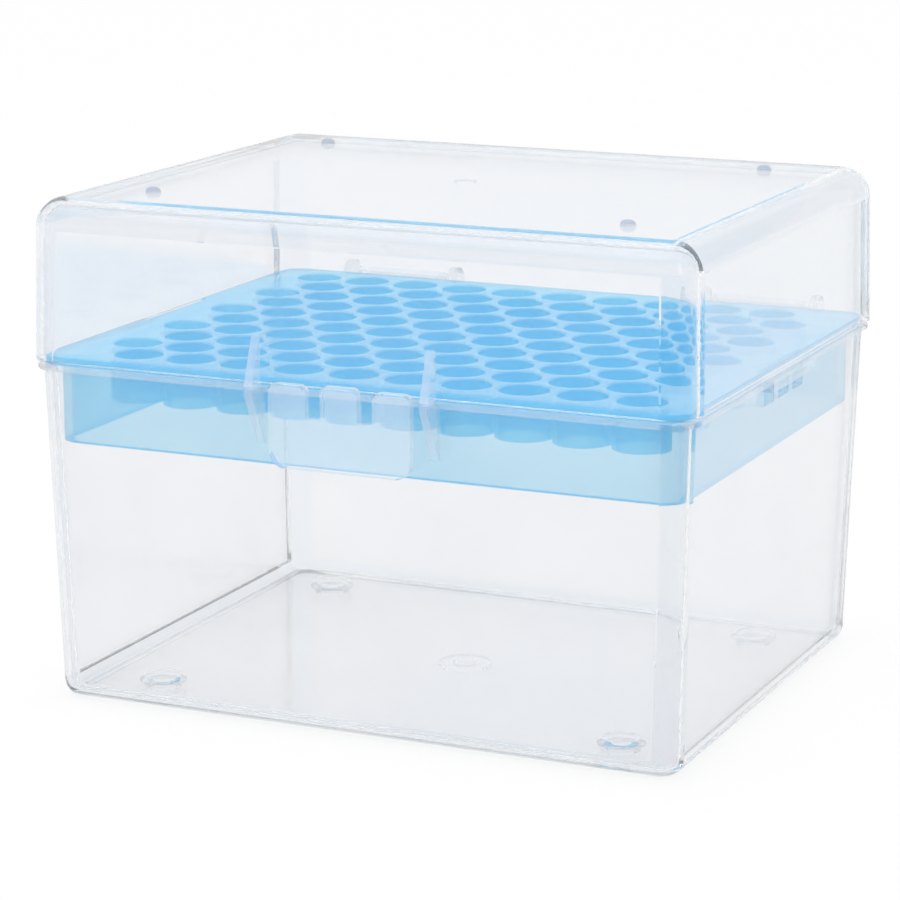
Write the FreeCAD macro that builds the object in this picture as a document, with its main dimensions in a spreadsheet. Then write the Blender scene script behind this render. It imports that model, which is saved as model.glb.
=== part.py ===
import FreeCAD, Part
import math
import os
import Sketcher
from FreeCAD import Placement, Rotation, Vector

# Empty box for a hundred long pipette tips: a clear tub, a clear lid that is hinged to it at the back and
# snaps shut at the front, and a blue plate with a hundred collared holes that drops into the tub.
#
# Frame: X runs along the box, Y from the snap latch at the front (-Y) to the hinges at the back (+Y), Z up
# from the surface that the tub stands on. Millimetres throughout.

doc = FreeCAD.newDocument("pipette_tip_box")
sheet = doc.addObject("Spreadsheet::Sheet", "sizes")

SIZES = [
    # the grid of holes: staggered rows, so that each hole has six equal neighbours
    ("pitch", 10.6, "hole to hole, in every direction"),
    ("row_count", 10, "rows from front to back"),
    ("holes_in_row", 10, "holes in each row"),
    ("bore_width", 8.7, "bore across its flats"),
    ("collar_width", 10.18, "collar across its flats"),
    ("collar_depth", 8.0, "plate top to the collars' lower ends"),
    # the plate and the skirt below it
    ("side_margin", 10.6, "outermost hole centre to the plate's short edge"),
    ("front_margin", 8.15, "outer row's centres to the plate's long edge"),
    ("plate_thickness", 1.45, ""),
    ("plate_corner", 4.0, "plan radius"),
    ("plate_edge_bevel", 0.3, "bevel of the plate's top edge"),
    ("grip_notch_width", 22.0, "shallow notch in each short edge"),
    ("grip_notch_depth", 0.9, ""),
    ("skirt_depth", 15.9, "plate top to the skirt's lower edge"),
    ("skirt_wall", 1.5, ""),
    ("skirt_gap", 0.7, "skirt to the tub's inner short wall, at the rim"),
    ("skirt_tangent_gap", 0.1, "outer row's bores to the skirt's inner face"),
    ("skirt_corner", 5.0, "plan radius"),
    # the tub
    ("tub_height", 61.8, "floor to rim"),
    ("tub_inset", 1.4, "tub wall behind the lid's outer face"),
    ("tub_wall", 1.3, ""),
    ("tub_draft", 1.55, "degrees, each side"),
    ("tub_corner", 4.4, "plan radius at the rim"),
    ("tub_bottom_round", 2.6, "rounding along the bottom"),
    ("rim_height", 1.0, "thickness of the rim that the lid stands on"),
    ("rim_setback", 0.35, "rim edge behind the lid's outer face"),
    ("vent_width", 21.6, "three openings and two bars"),
    ("vent_height", 3.8, ""),
    ("vent_bar", 2.2, "each bar between the openings"),
    ("hood_width", 23.6, "ledge over the vents"),
    ("hood_height", 1.9, ""),
    ("hood_reach", 1.0, "past the rim's edge"),
    # stacking: pips on the lid drop into cups under the tub of the next box
    ("stack_spacing_x", 90.0, ""),
    ("stack_spacing_y", 70.0, ""),
    ("pip_width", 2.8, ""),
    ("pip_height", 1.0, ""),
    ("cup_width", 6.6, "recess in the tub's underside"),
    ("cup_depth", 3.0, ""),
    ("cup_wall", 1.2, ""),
    ("gate_recess_width", 10.0, "recess round the moulding gate"),
    ("gate_recess_depth", 0.5, ""),
    ("gate_stub_width", 4.4, ""),
    # the lid
    ("plate_gap", 0.3, "plate edge to the lid's inner face"),
    ("lid_wall", 1.5, ""),
    ("lid_height", 29.0, "rim to top"),
    ("lid_gap", 0.5, "lid's rim over the tub's rim"),
    ("lid_top_round", 5.4, "rounding along the top"),
    # the snap latch, moulded in one with the lid
    ("latch_width", 26.7, ""),
    ("latch_drop", 14.0, "lid's rim to the tab's lower edge"),
    ("latch_thickness", 1.5, ""),
    ("latch_reach", 1.8, "tab's front face before the lid's"),
    ("latch_rise", 0.7, "tops of the two arms over the lid's rim"),
    ("latch_corner", 3.0, "lower corners"),
    ("arm_corner", 1.2, "upper corners of the arms and the block"),
    ("slot_width", 2.8, "slots between the arms and the block"),
    ("slot_depth", 4.9, "slots below the lid's rim"),
    ("block_width", 7.0, "block between the slots"),
    ("block_rise", 1.0, "block's top over the lid's rim"),
    ("block_gap", 0.3, "block to the lid's front face"),
    ("tooth_gap", 0.3, "tooth before the edge of the tub's rim"),
    # guard fins on both sides of the latch
    ("fin_gap", 2.3, "latch to fin"),
    ("fin_thickness", 1.6, ""),
    ("fin_reach", 3.2, "foot of the lid's fins before the lid's face"),
    ("lid_fin_height", 8.5, ""),
    ("tub_fin_height", 9.2, "below the tub's rim edge"),
    # the two hinges
    ("hinge_spacing", 76.0, "centre to centre"),
    ("hinge_width", 24.4, "over both ears"),
    ("hinge_offset", 3.6, "axis behind the lid's back face"),
    ("hinge_drop", 0.2, "axis below the tub's rim"),
    ("ear_thickness", 1.5, ""),
    ("ear_radius", 3.2, ""),
    ("ear_length", 15.0, "axis to the foot of the ear"),
    ("bar_width", 2.0, "moulded bar between the ears"),
    ("knuckle_gap", 1.6, "knuckle to each ear"),
    ("knuckle_wall", 0.9, ""),
    ("knuckle_play", 0.07, "radial running clearance on the bar"),
    ("snap_mouth", 1.6, "opening that the bar is pressed through"),
]

for line, (alias, number, meaning) in enumerate(SIZES, start=1):
    sheet.set("A%d" % line, alias)
    sheet.set("B%d" % line, str(number))
    sheet.set("C%d" % line, meaning)
    sheet.setAlias("B%d" % line, alias)

DERIVED = [
    ("row_step", "pitch * sqrt(3) / 2"),
    ("grid_length", "pitch * (holes_in_row - 0.5)"),
    ("grid_depth", "row_step * (row_count - 1)"),
    ("plate_length", "grid_length + 2 * side_margin"),
    ("plate_depth", "grid_depth + 2 * front_margin"),
    ("plate_top", "tub_height + plate_thickness"),
    ("lid_length", "plate_length + 2 * plate_gap + 2 * lid_wall"),
    ("lid_depth", "plate_depth + 2 * plate_gap + 2 * lid_wall"),
    ("lid_corner", "plate_corner + plate_gap + lid_wall"),
    ("lid_rim", "tub_height + lid_gap"),
    ("lid_top", "lid_rim + lid_height"),
    ("tub_length", "lid_length - 2 * tub_inset"),
    ("tub_depth", "lid_depth - 2 * tub_inset"),
    ("rim_length", "lid_length - 2 * rim_setback"),
    ("rim_depth", "lid_depth - 2 * rim_setback"),
    ("skirt_length", "tub_length - 2 * tub_wall - 2 * skirt_gap"),
    ("skirt_inner_depth", "grid_depth + bore_width + 2 * skirt_tangent_gap"),
    ("latch_front", "-lid_depth / 2 - latch_reach"),
    ("arm_width", "(latch_width - block_width) / 2 - slot_width"),
    ("fin_centre", "latch_width / 2 + fin_gap + fin_thickness / 2"),
    ("axis_y", "lid_depth / 2 + hinge_offset"),
    ("axis_z", "tub_height - hinge_drop"),
    ("knuckle_bore", "bar_width / 2 + knuckle_play"),
    ("knuckle_radius", "knuckle_bore + knuckle_wall"),
    ("knuckle_width", "hinge_width - 2 * ear_thickness - 2 * knuckle_gap"),
    ("frame_shift", "(axis_y + ear_radius - lid_depth / 2 - fin_reach) / 2"),
]

for line, (alias, formula) in enumerate(DERIVED, start=len(SIZES) + 1):
    sheet.set("A%d" % line, alias)
    sheet.set("B%d" % line, "=" + formula)
    sheet.setAlias("B%d" % line, alias)

doc.recompute()

ALIASES = [row[0] for row in SIZES] + [row[0] for row in DERIVED]


def size(alias):
    return float(sheet.get(alias))


def bound(formula):
    """The formula with each alias written the way an expression outside the sheet names it."""
    words = []
    word = ""
    for letter in formula + " ":
        if letter.isalnum() or letter == "_":
            word += letter
            continue
        words.append("sizes." + word if word in ALIASES else word)
        words.append(letter)
        word = ""
    return "(" + "".join(words).strip() + ")"


workings = doc.addObject("Spreadsheet::Sheet", "workings")


def formula_value(formula):
    """What a formula comes to, worked out on a sheet of its own that nothing else reads."""
    workings.set("A1", "=" + bound(formula))
    workings.recompute()
    return float(workings.get("A1"))


# ---------------------------------------------------------------- helpers for sketches and features

PLANES = {"top": "XY_Plane", "front": "XZ_Plane", "side": "YZ_Plane"}


def origin_plane(body, name):
    return next(item for item in body.Origin.OriginFeatures if item.Role == PLANES[name])


def origin_axis(body, role):
    return next(item for item in body.Origin.OriginFeatures if item.Role == role)


def new_body(name):
    body = doc.addObject("PartDesign::Body", name)
    body.Label = name
    return body


def new_sketch(body, name, plane, offset):
    """Sketch on one of the body's origin planes, moved along that plane's normal by the formula offset.

    Sketch axes: top is X and Y, front is X and Z (its normal is -Y), side is Y and Z (its normal is +X)."""
    sketch = body.newObject("Sketcher::SketchObject", name)
    sketch.AttachmentSupport = [(origin_plane(body, plane), "")]
    sketch.MapMode = "FlatFace"
    sketch.setExpression("AttachmentOffset.Base.z", bound(offset) + " * 1 mm")
    return sketch


def place_point(sketch, geometry, vertex, across, up):
    """Ties one point to the sketch's origin with two bound distances."""
    for kind, formula in (("DistanceX", across), ("DistanceY", up)):
        number = sketch.addConstraint(Sketcher.Constraint(kind, -1, 1, geometry, vertex, 1.0))
        sketch.setExpression("Constraints[%d]" % number, bound(formula) + " * 1 mm")


def add_polygon(sketch, points):
    """Closed outline through points that are each a pair of formulas."""
    first = sketch.GeometryCount
    count = len(points)
    for index in range(count):
        here = formula_point(points[index])
        there = formula_point(points[(index + 1) % count])
        sketch.addGeometry(Part.LineSegment(here, there), False)
    for index in range(count):
        after = first + (index + 1) % count
        sketch.addConstraint(Sketcher.Constraint("Coincident", first + index, 2, after, 1))
    for index, (across, up) in enumerate(points):
        place_point(sketch, first + index, 1, across, up)


def formula_point(pair):
    return Vector(formula_value(pair[0]), formula_value(pair[1]), 0)


def add_rectangle(sketch, left, right, low, high):
    add_polygon(sketch, [(left, low), (right, low), (right, high), (left, high)])


def add_centred_rectangle(sketch, length, depth):
    add_rectangle(sketch, "-(%s) / 2" % length, "(%s) / 2" % length, "-(%s) / 2" % depth, "(%s) / 2" % depth)


def add_rounded_rectangle(sketch, length, depth, corner):
    """Centred rectangle with arcs for corners: each arc's centre and radius are bound, the sides follow."""
    first = sketch.GeometryCount
    radius = formula_value(corner)
    far = formula_point(("(%s) / 2" % length, "(%s) / 2" % depth))
    turns = [(1, 1), (-1, 1), (-1, -1), (1, -1)]
    for quarter, (side, end) in enumerate(turns):
        centre = Vector(side * (far.x - radius), end * (far.y - radius), 0)
        circle = Part.Circle(centre, Vector(0, 0, 1), radius)
        start = quarter * math.pi / 2
        sketch.addGeometry(Part.ArcOfCircle(circle, start, start + math.pi / 2), False)
    for quarter in range(4):
        arc = sketch.Geometry[first + quarter]
        following = sketch.Geometry[first + (quarter + 1) % 4]
        sketch.addGeometry(Part.LineSegment(arc.EndPoint, following.StartPoint), False)
    for quarter, (side, end) in enumerate(turns):
        line = first + 4 + quarter
        sketch.addConstraint(Sketcher.Constraint("Tangent", first + quarter, 2, line, 1))
        sketch.addConstraint(Sketcher.Constraint("Tangent", line, 2, first + (quarter + 1) % 4, 1))
        number = sketch.addConstraint(Sketcher.Constraint("Radius", first + quarter, radius))
        sketch.setExpression("Constraints[%d]" % number, bound(corner) + " * 1 mm")
        place_point(
            sketch,
            first + quarter,
            3,
            "%d * ((%s) / 2 - (%s))" % (side, length, corner),
            "%d * ((%s) / 2 - (%s))" % (end, depth, corner),
        )


def add_circle(sketch, across, up, width):
    centre = formula_point((across, up))
    index = sketch.addGeometry(Part.Circle(centre, Vector(0, 0, 1), formula_value(width) / 2), False)
    place_point(sketch, index, 3, across, up)
    number = sketch.addConstraint(Sketcher.Constraint("Radius", index, formula_value(width) / 2))
    sketch.setExpression("Constraints[%d]" % number, bound("(%s) / 2" % width) + " * 1 mm")


def add_regular_polygon(sketch, across, up, width, flats):
    """Polygon with the stated width across its flats and one flat facing +X."""
    points = []
    for corner in range(flats):
        turn = 360.0 * (corner + 0.5) / flats
        radius = "(%s) / 2 / cos(%.6f deg)" % (width, 180.0 / flats)
        points.append(
            (
                "%s + %s * cos(%.6f deg)" % (across, radius, turn),
                "%s + %s * sin(%.6f deg)" % (up, radius, turn),
            )
        )
    add_polygon(sketch, points)


def pad(body, sketch, name, length, backwards=False):
    doc.recompute()
    feature = body.newObject("PartDesign::Pad", name)
    feature.Profile = sketch
    feature.setExpression("Length", bound(length) + " * 1 mm")
    feature.Reversed = backwards
    doc.recompute()
    return feature


def pocket(body, sketch, name, length, backwards=False):
    """Cut that must take something away: a cut that points away from the solid is an error."""
    doc.recompute()
    before = body.Tip.Shape.Volume
    feature = body.newObject("PartDesign::Pocket", name)
    feature.Profile = sketch
    feature.setExpression("Length", bound(length) + " * 1 mm")
    feature.Reversed = backwards
    doc.recompute()
    if not feature.Shape.Volume < before:
        raise RuntimeError(name + " cut nothing")
    return feature


def draft_walls(body, name, angle, neutral_height, flip=False):
    """Leans the upright walls inwards, about the flat face at one height."""
    base = body.Tip
    faces = base.Shape.Faces
    leaning = ["Face%d" % (i + 1) for i, face in enumerate(faces) if face.BoundBox.ZLength > 1]
    level_faces = ["Face%d" % (i + 1) for i, face in enumerate(faces) if is_flat_at(face, neutral_height)]
    feature = body.newObject("PartDesign::Draft", name)
    feature.Base = (base, leaning)
    feature.NeutralPlane = (base, level_faces[:1])
    feature.setExpression("Angle", bound(angle) + " * 1 deg")
    feature.Reversed = flip
    doc.recompute()
    return feature


def hollow_out(body, name, wall, open_height):
    """Leaves a shell of one wall thickness, open at the flat face at one height."""
    base = body.Tip
    faces = base.Shape.Faces
    mouth = ["Face%d" % (i + 1) for i, face in enumerate(faces) if is_flat_at(face, open_height)]
    feature = body.newObject("PartDesign::Thickness", name)
    feature.Base = (base, mouth)
    feature.setExpression("Value", bound(wall) + " * 1 mm")
    feature.Reversed = True
    feature.Join = "Intersection"
    doc.recompute()
    return feature


def is_flat_at(face, height):
    return abs(face.BoundBox.ZMin - height) < 0.01 and abs(face.BoundBox.ZMax - height) < 0.01


def round_edges(body, name, radius, wanted):
    """Fillet of every edge of the body that passes the test wanted."""
    shape = body.Tip.Shape
    names = ["Edge%d" % (index + 1) for index, edge in enumerate(shape.Edges) if wanted(edge)]
    if not names:
        raise RuntimeError(name + " found no edge")
    base = body.Tip
    feature = body.newObject("PartDesign::Fillet", name)
    feature.Base = (base, names)
    feature.setExpression("Radius", bound(radius) + " * 1 mm")
    doc.recompute()
    return feature


def bevel_edges(body, name, width, wanted):
    """Chamfer of every edge of the body that passes the test wanted."""
    base = body.Tip
    names = ["Edge%d" % (index + 1) for index, edge in enumerate(base.Shape.Edges) if wanted(edge)]
    feature = body.newObject("PartDesign::Chamfer", name)
    feature.Base = (base, names)
    feature.setExpression("Size", bound(width) + " * 1 mm")
    doc.recompute()
    return feature


def mirror_across_x(body, name, features):
    """Copies the features to the other side of the YZ plane."""
    mirrored = body.newObject("PartDesign::Mirrored", name)
    mirrored.Originals = features
    mirrored.MirrorPlane = (origin_plane(body, "side"), [""])
    body.Tip = mirrored
    doc.recompute()
    return mirrored


def level(edge, height, reach=0.05):
    """True where an edge lies flat at one height."""
    box = edge.BoundBox
    return abs(box.ZMin - height) < reach and abs(box.ZMax - height) < reach


# ---------------------------------------------------------------- the tub


def make_tub():
    body = new_body("base_box")
    height = size("tub_height")

    outline = new_sketch(body, "tub_outline", "top", "tub_height")
    add_rounded_rectangle(outline, "tub_length", "tub_depth", "tub_corner")
    pad(body, outline, "tub_block", "tub_height", backwards=True)
    draft_walls(body, "tub_lean", "tub_draft", height, flip=True)
    round_edges(body, "tub_bottom", "tub_bottom_round", lambda edge: level(edge, 0))

    hollow_out(body, "tub_shell", "tub_wall", height)

    add_rim(body)
    add_stacking_cups(body)
    add_vents(body)
    add_tub_fins(body)
    add_hinge_ears(body)
    return body


def add_rim(body):
    """Rim that carries the rack's plate and the lid; its inner outline runs inside the tub's wall."""
    ring = new_sketch(body, "rim_outline", "top", "tub_height - rim_height")
    add_rounded_rectangle(ring, "rim_length", "rim_depth", "lid_corner - rim_setback")
    middle_radius = "tub_corner - tub_wall / 2"
    add_rounded_rectangle(ring, "tub_length - tub_wall", "tub_depth - tub_wall", middle_radius)
    pad(body, ring, "rim", "rim_height")


SMALL_FLATS = 12
STACK_SIGNS = [(-1, -1), (1, -1), (1, 1), (-1, 1)]


def add_stacking_outlines(sketch, width):
    for side, end in STACK_SIGNS:
        across = "%d * stack_spacing_x / 2" % side
        up = "%d * stack_spacing_y / 2" % end
        add_regular_polygon(sketch, across, up, width, SMALL_FLATS)


def add_stacking_cups(body):
    """Four cups in the floor, hollow from below, and the recess round the moulding gate."""
    domes = new_sketch(body, "cup_domes", "top", "tub_wall / 2")
    add_stacking_outlines(domes, "cup_width + 2 * cup_wall")
    pad(body, domes, "cup_walls", "cup_depth + cup_wall - tub_wall / 2")
    recesses = new_sketch(body, "cup_recesses", "top", "0")
    add_stacking_outlines(recesses, "cup_width")
    pocket(body, recesses, "cups", "cup_depth", backwards=True)

    gate = new_sketch(body, "gate_outline", "top", "0")
    add_regular_polygon(gate, "0", "0", "gate_recess_width", SMALL_FLATS)
    add_regular_polygon(gate, "0", "0", "gate_stub_width", SMALL_FLATS)
    pocket(body, gate, "gate_recess", "gate_recess_depth", backwards=True)


def add_vents(body):
    """Three vents under the rim in each short wall, and the ledge over them."""
    opening = "(vent_width - 2 * vent_bar) / 3"
    high = "tub_height - rim_height"
    low = "tub_height - rim_height - vent_height"
    vents = new_sketch(body, "vent_outline", "side", "-tub_length / 2 - tub_wall")
    for step in (-1, 0, 1):
        middle = "%d * (%s + vent_bar)" % (step, opening)
        left = "%s - %s / 2" % (middle, opening)
        right = "%s + %s / 2" % (middle, opening)
        add_rectangle(vents, left, right, low, high)
    pocket(body, vents, "vents", "tub_length + 2 * tub_wall", backwards=True)

    ledge = new_sketch(body, "hood_outline", "top", "tub_height - hood_height")
    for side in (-1, 1):
        inner = "%d * (tub_length - tub_wall) / 2" % side
        outer = "%d * (rim_length / 2 + hood_reach)" % side
        left, right = (outer, inner) if side < 0 else (inner, outer)
        add_rectangle(ledge, left, right, "-hood_width / 2", "hood_width / 2")
    pad(body, ledge, "hoods", "hood_height")


def add_tub_fins(body):
    """Guard fins below the rim, on both sides of the latch."""
    fin = new_sketch(body, "tub_fin_outline", "side", "fin_centre - fin_thickness / 2")
    foot = "-lid_depth / 2 - fin_reach"
    root = "-(tub_depth - tub_wall) / 2"
    add_polygon(
        fin,
        [
            (foot, "tub_height"),
            (root, "tub_height"),
            (root, "tub_height - rim_height - tub_fin_height"),
            ("-tub_depth / 2", "tub_height - rim_height - tub_fin_height"),
            (foot, "tub_height - rim_height"),
        ],
    )
    right = pad(body, fin, "tub_fin", "fin_thickness")
    mirror_across_x(body, "tub_fins", [right])


def add_hinge_ears(body):
    """Two ears and the bar between them at each hinge."""
    made = []
    for name, offset in (
        ("inner", "hinge_spacing / 2 - hinge_width / 2"),
        ("outer", "hinge_spacing / 2 + hinge_width / 2 - ear_thickness"),
    ):
        ear = new_sketch(body, name + "_ear_outline", "side", offset)
        draw_ear(ear)
        made.append(pad(body, ear, name + "_ear", "ear_thickness"))
    bar = new_sketch(body, "hinge_bar_outline", "side", "hinge_spacing / 2 - hinge_width / 2 + ear_thickness / 2")
    add_circle(bar, "axis_y", "axis_z", "bar_width")
    made.append(pad(body, bar, "hinge_bar", "hinge_width - ear_thickness"))
    mirror_across_x(body, "left_hinge", made)


def draw_ear(sketch):
    """Round head about the hinge axis, with a straight back that runs down to the tub's wall."""
    centre = formula_point(("axis_y", "axis_z"))
    radius = size("ear_radius")
    root = -formula_value("-(tub_depth - tub_wall) / 2")
    foot = size("axis_z") - size("ear_length")
    start = math.radians(-25)
    sketch.addGeometry(
        Part.ArcOfCircle(Part.Circle(centre, Vector(0, 0, 1), radius), start, math.pi), False
    )
    head = centre + Vector(-radius, 0, 0)
    back = centre + Vector(radius * math.cos(start), radius * math.sin(start), 0)
    sketch.addGeometry(Part.LineSegment(head, Vector(root, centre.y, 0)), False)
    sketch.addGeometry(Part.LineSegment(Vector(root, centre.y, 0), Vector(root, foot, 0)), False)
    sketch.addGeometry(Part.LineSegment(Vector(root, foot, 0), back), False)
    sketch.addConstraint(Sketcher.Constraint("Coincident", 0, 2, 1, 1))
    sketch.addConstraint(Sketcher.Constraint("Coincident", 1, 2, 2, 1))
    sketch.addConstraint(Sketcher.Constraint("Coincident", 2, 2, 3, 1))
    sketch.addConstraint(Sketcher.Constraint("Tangent", 3, 2, 0, 1))
    sketch.addConstraint(Sketcher.Constraint("Horizontal", 0, 3, 0, 2))
    place_point(sketch, 0, 3, "axis_y", "axis_z")
    number = sketch.addConstraint(Sketcher.Constraint("Radius", 0, radius))
    sketch.setExpression("Constraints[%d]" % number, bound("ear_radius") + " * 1 mm")
    place_point(sketch, 1, 2, "(tub_depth - tub_wall) / 2", "axis_z")
    place_point(sketch, 2, 2, "(tub_depth - tub_wall) / 2", "axis_z - ear_length")


# ---------------------------------------------------------------- the rack

BORE_FLATS = 10
COLLAR_FLATS = 6


def grid_of(body, name, feature):
    """Repeats a feature over the grid: along the rows, and in pairs of rows from front to back."""
    grid = body.newObject("PartDesign::MultiTransform", name)
    grid.Originals = [feature]
    along = body.newObject("PartDesign::LinearPattern", name + "_along")
    back = body.newObject("PartDesign::LinearPattern", name + "_back")
    along.Direction = (origin_axis(body, "X_Axis"), [""])
    back.Direction = (origin_axis(body, "Y_Axis"), [""])
    along.setExpression("Length", bound("pitch * (holes_in_row - 1)") + " * 1 mm")
    along.setExpression("Occurrences", bound("holes_in_row"))
    back.setExpression("Length", bound("row_step * (row_count - 2)") + " * 1 mm")
    back.setExpression("Occurrences", bound("row_count / 2"))
    grid.Transformations = [along, back]
    grid.Refine = False
    body.Tip = grid
    doc.recompute()
    return grid


def add_first_two_rows(sketch, width, flats):
    """The first hole of the front row, which starts half a pitch further in, and of the row behind it."""
    add_regular_polygon(sketch, "-grid_length / 2 + pitch / 2", "-grid_depth / 2", width, flats)
    add_regular_polygon(sketch, "-grid_length / 2", "-grid_depth / 2 + row_step", width, flats)


def make_rack():
    body = new_body("tip_rack")
    high = size("plate_top")

    outline = new_sketch(body, "plate_outline", "top", "tub_height")
    add_rounded_rectangle(outline, "plate_length", "plate_depth", "plate_corner")
    pad(body, outline, "plate", "plate_thickness")
    notch = new_sketch(body, "notch_outline", "top", "plate_top")
    for side in (-1, 1):
        edge = "%d * plate_length / 2" % side
        inner = "%d * (plate_length / 2 - grip_notch_depth)" % side
        left, right = (edge, inner) if side < 0 else (inner, edge)
        add_rectangle(notch, left, right, "-grip_notch_width / 2", "grip_notch_width / 2")
    pocket(body, notch, "grip_notches", "plate_thickness")
    bevel_edges(body, "plate_edge", "plate_edge_bevel", lambda edge: level(edge, high))

    skirt = new_sketch(body, "skirt_outline", "top", "tub_height")
    outer_depth = "skirt_inner_depth + 2 * skirt_wall"
    inner_length = "skirt_length - 2 * skirt_wall"
    add_rounded_rectangle(skirt, "skirt_length", outer_depth, "skirt_corner")
    add_rounded_rectangle(skirt, inner_length, "skirt_inner_depth", "skirt_corner - skirt_wall")
    pad(body, skirt, "skirt", "skirt_depth - plate_thickness", backwards=True)

    collars = new_sketch(body, "collar_outline", "top", "plate_top - collar_depth")
    add_first_two_rows(collars, "collar_width", COLLAR_FLATS)
    first_collars = pad(body, collars, "first_collars", "collar_depth - plate_thickness / 2")
    grid_of(body, "collars", first_collars)
    bores = new_sketch(body, "bore_outline", "top", "plate_top")
    add_first_two_rows(bores, "bore_width", BORE_FLATS)
    first_bores = pocket(body, bores, "first_bores", "collar_depth")
    grid_of(body, "bores", first_bores)
    return body


# ---------------------------------------------------------------- the lid


def make_lid():
    body = new_body("lid")
    rim = size("lid_rim")
    top = size("lid_top")

    outline = new_sketch(body, "lid_outline", "top", "lid_rim")
    add_rounded_rectangle(outline, "lid_length", "lid_depth", "lid_corner")
    pad(body, outline, "lid_block", "lid_height")
    round_edges(body, "lid_top_edge", "lid_top_round", lambda edge: level(edge, top))
    hollow_out(body, "lid_shell", "lid_wall", rim)

    pips = new_sketch(body, "pip_outline", "top", "lid_top")
    add_stacking_outlines(pips, "pip_width")
    pad(body, pips, "pips", "pip_height")
    gate = new_sketch(body, "lid_gate_outline", "top", "lid_top")
    add_regular_polygon(gate, "0", "0", "gate_stub_width", SMALL_FLATS)
    pocket(body, gate, "lid_gate", "gate_recess_depth")

    add_lid_fins(body)
    add_latch(body)
    add_knuckles(body)
    return body


def add_lid_fins(body):
    """Guard fins above the lid's rim, in line with the tub's."""
    fin = new_sketch(body, "lid_fin_outline", "side", "fin_centre - fin_thickness / 2")
    root = "-(lid_depth - lid_wall) / 2"
    add_polygon(
        fin,
        [
            ("-lid_depth / 2 - fin_reach", "lid_rim"),
            (root, "lid_rim"),
            (root, "lid_rim + lid_fin_height"),
            ("-lid_depth / 2", "lid_rim + lid_fin_height"),
        ],
    )
    right = pad(body, fin, "lid_fin", "fin_thickness")
    mirror_across_x(body, "lid_fins", [right])


def add_latch(body):
    """Springy tab that hangs from the lid's rim by two arms, with the snap block free between them."""
    tab_low = "lid_rim - latch_drop"
    slot_low = "lid_rim - slot_depth"
    arm_top = "lid_rim + latch_rise"
    front = "-(latch_front)"

    webs = new_sketch(body, "latch_web_outline", "top", "lid_rim")
    for side in (-1, 1):
        outer = "%d * (latch_width / 2 - arm_corner)" % side
        inner = "%d * (latch_width / 2 - arm_width + arm_corner)" % side
        left, right = (outer, inner) if side < 0 else (inner, outer)
        add_rectangle(webs, left, right, "latch_front + latch_thickness / 2", "-(lid_depth - lid_wall) / 2")
    pad(body, webs, "latch_webs", "latch_rise")

    # the front plane's normal is -Y, so a length along it grows towards the front
    arms = new_sketch(body, "latch_arm_outline", "front", "-(latch_front) - latch_thickness")
    for side in (-1, 1):
        outer = "%d * latch_width / 2" % side
        inner = "%d * (latch_width / 2 - arm_width)" % side
        left, right = (outer, inner) if side < 0 else (inner, outer)
        add_rectangle(arms, left, right, slot_low, arm_top)
    pad(body, arms, "latch_arms", "latch_thickness")
    tab = new_sketch(body, "latch_tab_outline", "front", "-(latch_front) - latch_thickness")
    add_rectangle(tab, "-latch_width / 2", "latch_width / 2", tab_low, slot_low)
    pad(body, tab, "latch_tab", "latch_thickness")

    block = new_sketch(body, "latch_block_outline", "side", "-block_width / 2")
    block_top = "lid_rim + block_rise"
    wall_face = "-lid_depth / 2 - block_gap"
    tooth_face = "-rim_depth / 2 - tooth_gap"
    tooth_top = "tub_height - rim_height - tooth_gap"
    add_polygon(
        block,
        [
            ("latch_front", block_top),
            ("latch_front", slot_low),
            (tooth_face, slot_low),
            (tooth_face, tooth_top),
            (wall_face, tooth_top),
            (wall_face, block_top),
        ],
    )
    pad(body, block, "latch_block", "block_width")

    low_z = formula_value(tab_low)
    arm_z = formula_value(arm_top)
    block_z = formula_value(block_top)
    half_width = size("latch_width") / 2
    round_edges(
        body,
        "latch_lower_corners",
        "latch_corner",
        lambda edge: level(edge, low_z) and is_across(edge),
    )
    round_edges(
        body,
        "latch_upper_corners",
        "arm_corner",
        lambda edge: is_across(edge) and (level(edge, arm_z) or level(edge, block_z))
        and edge.BoundBox.XMax < half_width + 0.01,
    )


def is_across(edge):
    """True where an edge runs straight back from the latch's front face."""
    box = edge.BoundBox
    return box.XLength < 0.01 and box.YLength > 0.5 and abs(box.YMin - size("latch_front")) < 0.01


def add_knuckles(body):
    """Snap knuckle on a short arm at each hinge, which clips over the tub's bar."""
    start = "hinge_spacing / 2 - knuckle_width / 2"
    made = []
    arm = new_sketch(body, "hinge_arm_outline", "side", start)
    add_rectangle(arm, "(lid_depth - lid_wall) / 2", "axis_y", "lid_rim", "axis_z + knuckle_radius")
    made.append(pad(body, arm, "hinge_arm", "knuckle_width"))
    knuckle = new_sketch(body, "knuckle_outline", "side", start)
    add_circle(knuckle, "axis_y", "axis_z", "2 * knuckle_radius")
    made.append(pad(body, knuckle, "knuckle", "knuckle_width"))
    bore = new_sketch(body, "knuckle_bore_outline", "side", start)
    add_circle(bore, "axis_y", "axis_z", "2 * knuckle_bore")
    made.append(pocket(body, bore, "knuckle_bore_cut", "knuckle_width", backwards=True))
    mouth = new_sketch(body, "snap_mouth_outline", "side", start)
    add_rectangle(
        mouth, "axis_y - snap_mouth / 2", "axis_y + snap_mouth / 2", "axis_z - 2 * knuckle_radius", "axis_z"
    )
    made.append(pocket(body, mouth, "snap_mouth_cut", "knuckle_width", backwards=True))
    mirror_across_x(body, "left_knuckle", made)


# ---------------------------------------------------------------- build, check and write

pieces = [make_tub(), make_rack(), make_lid()]
for piece in pieces:
    # the pieces are drawn about the tub's middle; the frame's origin is under the middle of the whole box
    piece.setExpression("Placement.Base.y", bound("-frame_shift") + " * 1 mm")
doc.recompute()

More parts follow.
